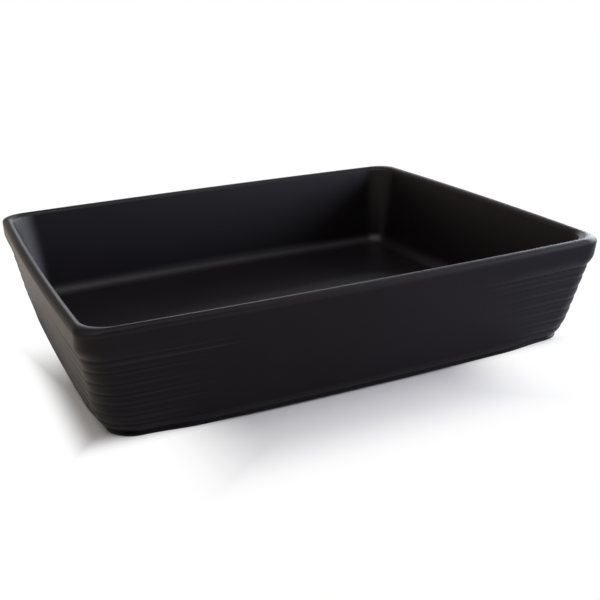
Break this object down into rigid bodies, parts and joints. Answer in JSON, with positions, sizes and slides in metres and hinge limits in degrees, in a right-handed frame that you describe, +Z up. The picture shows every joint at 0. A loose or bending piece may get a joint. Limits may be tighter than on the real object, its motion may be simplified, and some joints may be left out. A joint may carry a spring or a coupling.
{
  "type": "roasting pan",
  "caption": "Rectangular satin black stoneware roasting dish with leaning walls, a thick rounded lip, a plain rim band and stepped corners that fade into smooth sides.",
  "frame": {"origin": "on the table, under the middle of the dish", "axes": "+X along the long side, +Y along the short side, +Z up out of the open top"},
  "size_m": [0.3498, 0.2948, 0.073],
  "materials": {
    "fired_clay": "bare fired clay, matt",
    "inside_glaze": "satin black glaze",
    "outside_glaze": "satin to matt black glaze"
  },
  "bodies": {
    "root": {"stoneware_body": "fired_clay", "inside_glaze": "inside_glaze", "outside_glaze": "outside_glaze"}
  },
  "joints": []
}
